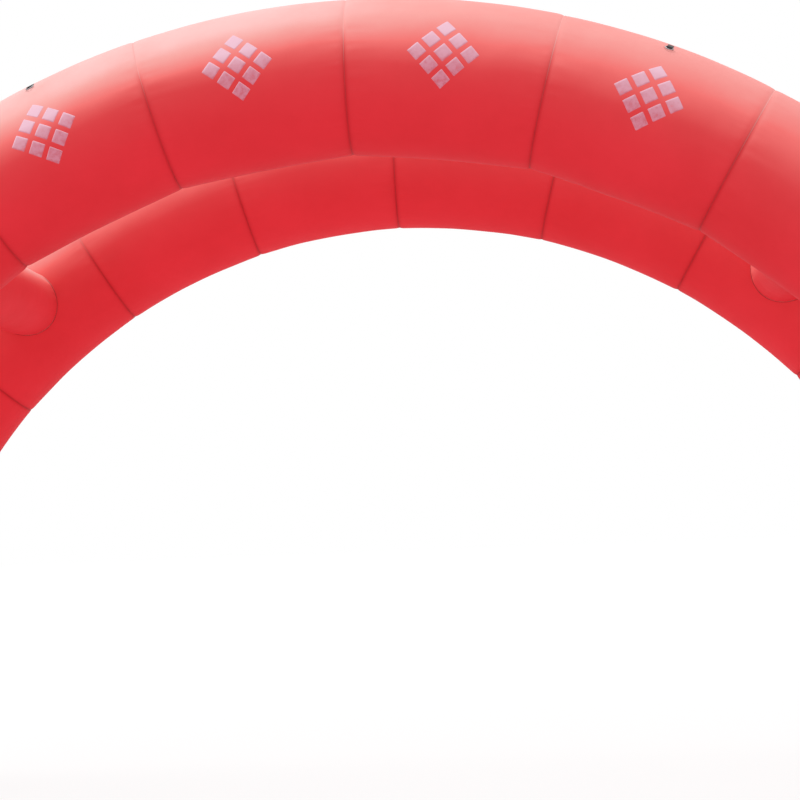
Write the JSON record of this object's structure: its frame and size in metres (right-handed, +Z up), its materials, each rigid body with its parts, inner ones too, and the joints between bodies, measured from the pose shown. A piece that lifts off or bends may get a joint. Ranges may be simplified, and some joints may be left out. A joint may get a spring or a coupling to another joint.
{
  "type": "inflatable double arch",
  "caption": "Pair of half-round inflated cloth arches held side by side by cross tubes, with blowers between the legs, foot pans and tether rings.",
  "frame": {"origin": "on the ground, under the middle of the two arches", "axes": "+X along the span, to the right as seen from the front; +Y from the front arch to the rear arch; +Z up"},
  "size_m": [10, 3.822, 5.1],
  "materials": {
    "red_cloth": "coated nylon cloth, slight sheen",
    "base_cloth": "heavy coated cloth, matte",
    "webbing": "woven polyester webbing",
    "ring_steel": "plated steel, dulled",
    "zip_cloth": "zip tape with plastic teeth",
    "blower_plastic": "moulded, satin",
    "impeller_plastic": "moulded, matte",
    "motor_metal": "cast, satin",
    "guard_steel": "powder-coated black",
    "switch_plastic": "moulded, matte",
    "rocker_plastic": "gloss red"
  },
  "bodies": {
    "arch": {"front_panel_left_1": "red_cloth", "front_panel_left_2": "red_cloth", "front_panel_left_3": "red_cloth", "front_panel_left_4": "red_cloth", "front_panel_left_5": "red_cloth", "front_panel_left_6": "red_cloth", "front_panel_right_1": "red_cloth", "front_panel_right_2": "red_cloth", "front_panel_right_3": "red_cloth", "front_panel_right_4": "red_cloth", "front_panel_right_5": "red_cloth", "front_panel_right_6": "red_cloth", "rear_panel_left_1": "red_cloth", "rear_panel_left_2": "red_cloth", "rear_panel_left_3": "red_cloth", "rear_panel_left_4": "red_cloth", "rear_panel_left_5": "red_cloth", "rear_panel_left_6": "red_cloth", "rear_panel_right_1": "red_cloth", "rear_panel_right_2": "red_cloth", "rear_panel_right_3": "red_cloth", "rear_panel_right_4": "red_cloth", "rear_panel_right_5": "red_cloth", "rear_panel_right_6": "red_cloth", "front_foot_left": "base_cloth", "front_foot_right": "base_cloth", "rear_foot_left": "base_cloth", "rear_foot_right": "base_cloth", "cross_tube_left": "red_cloth", "cross_tube_right": "red_cloth", "front_tether_tab_left": "webbing", "front_tether_tab_right": "webbing", "rear_tether_tab_left": "webbing", "rear_tether_tab_right": "webbing", "deflation_zip": "zip_cloth", "inlet_sleeve_left": "red_cloth", "inlet_sleeve_right": "red_cloth", "sleeve_strap_left": "webbing", "sleeve_strap_right": "webbing", "blower_case_left": "blower_plastic", "blower_case_right": "blower_plastic", "outlet_collar_left": "blower_plastic", "outlet_collar_right": "blower_plastic", "inlet_guard_left": "guard_steel", "inlet_guard_right": "guard_steel", "blower_motor_left": "motor_metal", "blower_motor_right": "motor_metal", "switch_box_left": "switch_plastic", "switch_box_right": "switch_plastic", "cable_gland_left": "switch_plastic", "cable_gland_right": "switch_plastic"},
    "impeller_left": {"impeller_left": "impeller_plastic"},
    "impeller_right": {"impeller_right": "impeller_plastic"},
    "rocker_left": {"rocker_switch_left": "rocker_plastic"},
    "rocker_right": {"rocker_switch_right": "rocker_plastic"},
    "front_ring_left": {"front_tether_ring_left": "ring_steel"},
    "front_ring_right": {"front_tether_ring_right": "ring_steel"},
    "rear_ring_left": {"rear_tether_ring_left": "ring_steel"},
    "rear_ring_right": {"rear_tether_ring_right": "ring_steel"},
    "zip_slider": {"zip_slider": "ring_steel"}
  },
  "joints": [
    {"name": "impeller_left_spin", "type": "hinge", "parent": "arch", "child": "impeller_left", "pos_m": [-4.51362, 0.2437, 0.235], "axis": [1, 0, 0], "continuous": true},
    {"name": "impeller_right_spin", "type": "hinge", "parent": "arch", "child": "impeller_right", "pos_m": [4.51362, 0.2437, 0.235], "axis": [1, 0, 0], "continuous": true},
    {"name": "rocker_left_tilt", "type": "hinge", "parent": "arch", "child": "rocker_left", "pos_m": [-4.65892, 0.2437, 0.365], "axis": [0, 1, 0], "range_deg": [0, 16]},
    {"name": "rocker_right_tilt", "type": "hinge", "parent": "arch", "child": "rocker_right", "pos_m": [4.36832, 0.2437, 0.365], "axis": [0, 1, 0], "range_deg": [0, 16]},
    {"name": "front_ring_left_swing", "type": "hinge", "parent": "arch", "child": "front_ring_left", "pos_m": [-1.95526, -1.68798, 4.61835], "axis": [-0.9178, 0, -0.3971], "range_deg": [0, 150]},
    {"name": "front_ring_right_swing", "type": "hinge", "parent": "arch", "child": "front_ring_right", "pos_m": [1.95526, -1.68798, 4.61835], "axis": [-0.9178, 0, 0.3971], "range_deg": [0, 150]},
    {"name": "rear_ring_left_swing", "type": "hinge", "parent": "arch", "child": "rear_ring_left", "pos_m": [-1.95526, 1.68798, 4.61835], "axis": [0.9178, 0, 0.3971], "range_deg": [0, 150]},
    {"name": "rear_ring_right_swing", "type": "hinge", "parent": "arch", "child": "rear_ring_right", "pos_m": [1.95526, 1.68798, 4.61835], "axis": [0.9178, 0, -0.3971], "range_deg": [0, 150]},
    {"name": "zip_slide", "type": "slide", "parent": "arch", "child": "zip_slider", "axis": [-0.2906, -0.0172, -0.9567], "range_m": [0, 0.42]}
  ]
}
